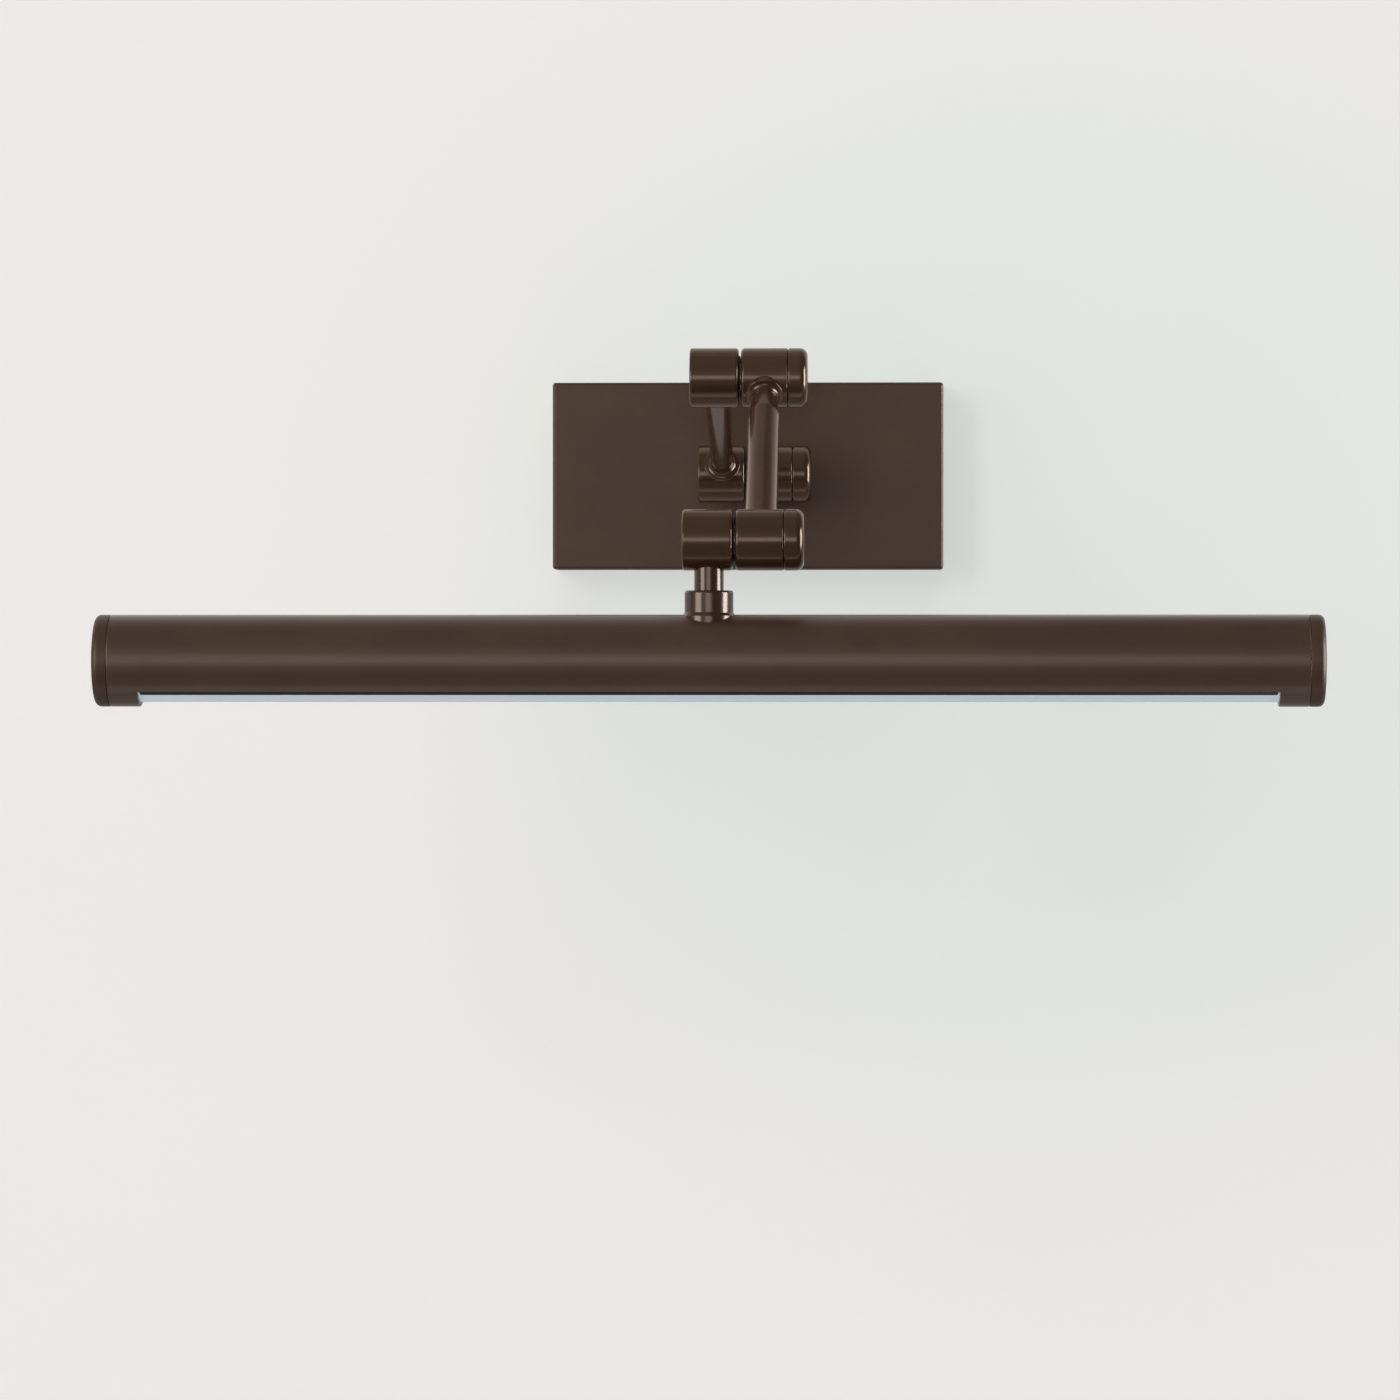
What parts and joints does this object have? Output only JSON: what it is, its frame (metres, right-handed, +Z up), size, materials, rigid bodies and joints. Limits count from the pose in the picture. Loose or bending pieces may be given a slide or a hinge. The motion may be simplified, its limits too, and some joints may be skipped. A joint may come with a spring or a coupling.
{
  "type": "picture light",
  "caption": "Wall picture light with a slotted horizontal lamp tube on a short swivel neck, carried by a folding arm with barrel knuckles from a rectangular wall plate.",
  "frame": {"origin": "centre of the wall plate's wall side, on the wall plane", "axes": "+Z up; +Y into the wall, so the light stands out towards -Y; +X to the right seen from the room, along the lamp tube"},
  "size_m": [0.4325, 0.2325, 0.13],
  "materials": {
    "bronze": "satin",
    "diffuser": "satin",
    "aluminium": "satin",
    "zinc_steel": "satin",
    "screw_steel": "satin",
    "brass": "satin",
    "fibre": "matte",
    "ground_green": "satin",
    "case_plastic": "matte",
    "terminal_plastic": "matte",
    "driver_pcb": "satin",
    "led_pcb": "satin",
    "led_package": "gloss",
    "lead_sheath": "satin"
  },
  "bodies": {
    "wall_mount": {"wall_plate": "bronze", "mounting_bracket": "zinc_steel", "ground_screw": "ground_green", "plate_set_screws": "screw_steel", "driver_case": "case_plastic", "driver_lid": "case_plastic", "driver_board": "driver_pcb", "terminal_block": "terminal_plastic", "terminal_screws": "screw_steel", "input_lead": "lead_sheath", "driver_lead": "lead_sheath", "wall_stem": "bronze", "wall_stem_washer": "zinc_steel", "wall_stem_nut": "brass", "wall_right_barrel": "bronze", "wall_end_cap": "bronze", "wall_friction_washer": "fibre"},
    "inner_arm": {"wall_left_barrel": "bronze", "wall_pivot_tube": "brass", "wall_thrust_washer": "fibre", "wall_spring_washer": "zinc_steel", "wall_lock_nut": "brass", "arm_1_tube": "bronze", "arm_1_lead": "lead_sheath", "upper_left_barrel": "bronze", "upper_pivot_tube": "brass", "upper_thrust_washer": "fibre", "upper_spring_washer": "zinc_steel", "upper_lock_nut": "brass"},
    "outer_arm": {"upper_right_barrel": "bronze", "upper_end_cap": "bronze", "upper_friction_washer": "fibre", "arm_2_tube": "bronze", "arm_2_lead": "lead_sheath", "lower_right_barrel": "bronze", "lower_end_cap": "bronze", "lower_friction_washer": "fibre"},
    "neck": {"lower_left_barrel": "bronze", "lower_pivot_tube": "brass", "lower_thrust_washer": "fibre", "lower_spring_washer": "zinc_steel", "lower_lock_nut": "brass", "neck_tube": "bronze", "neck_lead": "lead_sheath", "swivel_washer": "zinc_steel", "swivel_nut": "brass"},
    "lamp_head": {"collar": "bronze", "swivel_saddle": "aluminium", "lamp_tube": "bronze", "led_carrier": "aluminium", "led_board": "led_pcb", "led_chips": "led_package", "board_screws": "screw_steel", "board_connector": "case_plastic", "head_lead": "lead_sheath", "diffuser": "diffuser", "end_cap_left": "bronze", "end_cap_right": "bronze", "end_cap_screws": "screw_steel"}
  },
  "joints": [
    {"name": "wall_hinge", "type": "hinge", "parent": "wall_mount", "child": "inner_arm", "pos_m": [0, -0.042, 0], "axis": [-1, 0, 0], "range_deg": [-30, 45]},
    {"name": "upper_hinge", "type": "hinge", "parent": "inner_arm", "child": "outer_arm", "pos_m": [0, -0.13661, 0.03239], "axis": [-1, 0, 0], "range_deg": [-30, 50]},
    {"name": "head_tilt", "type": "hinge", "parent": "outer_arm", "child": "neck", "pos_m": [0, -0.21626, -0.02807], "axis": [-1, 0, 0], "range_deg": [-60, 45]},
    {"name": "head_swivel", "type": "hinge", "parent": "neck", "child": "lamp_head", "pos_m": [-0.0089, -0.21626, -0.02807], "axis": [0, 0, 1], "range_deg": [-20, 20]}
  ]
}
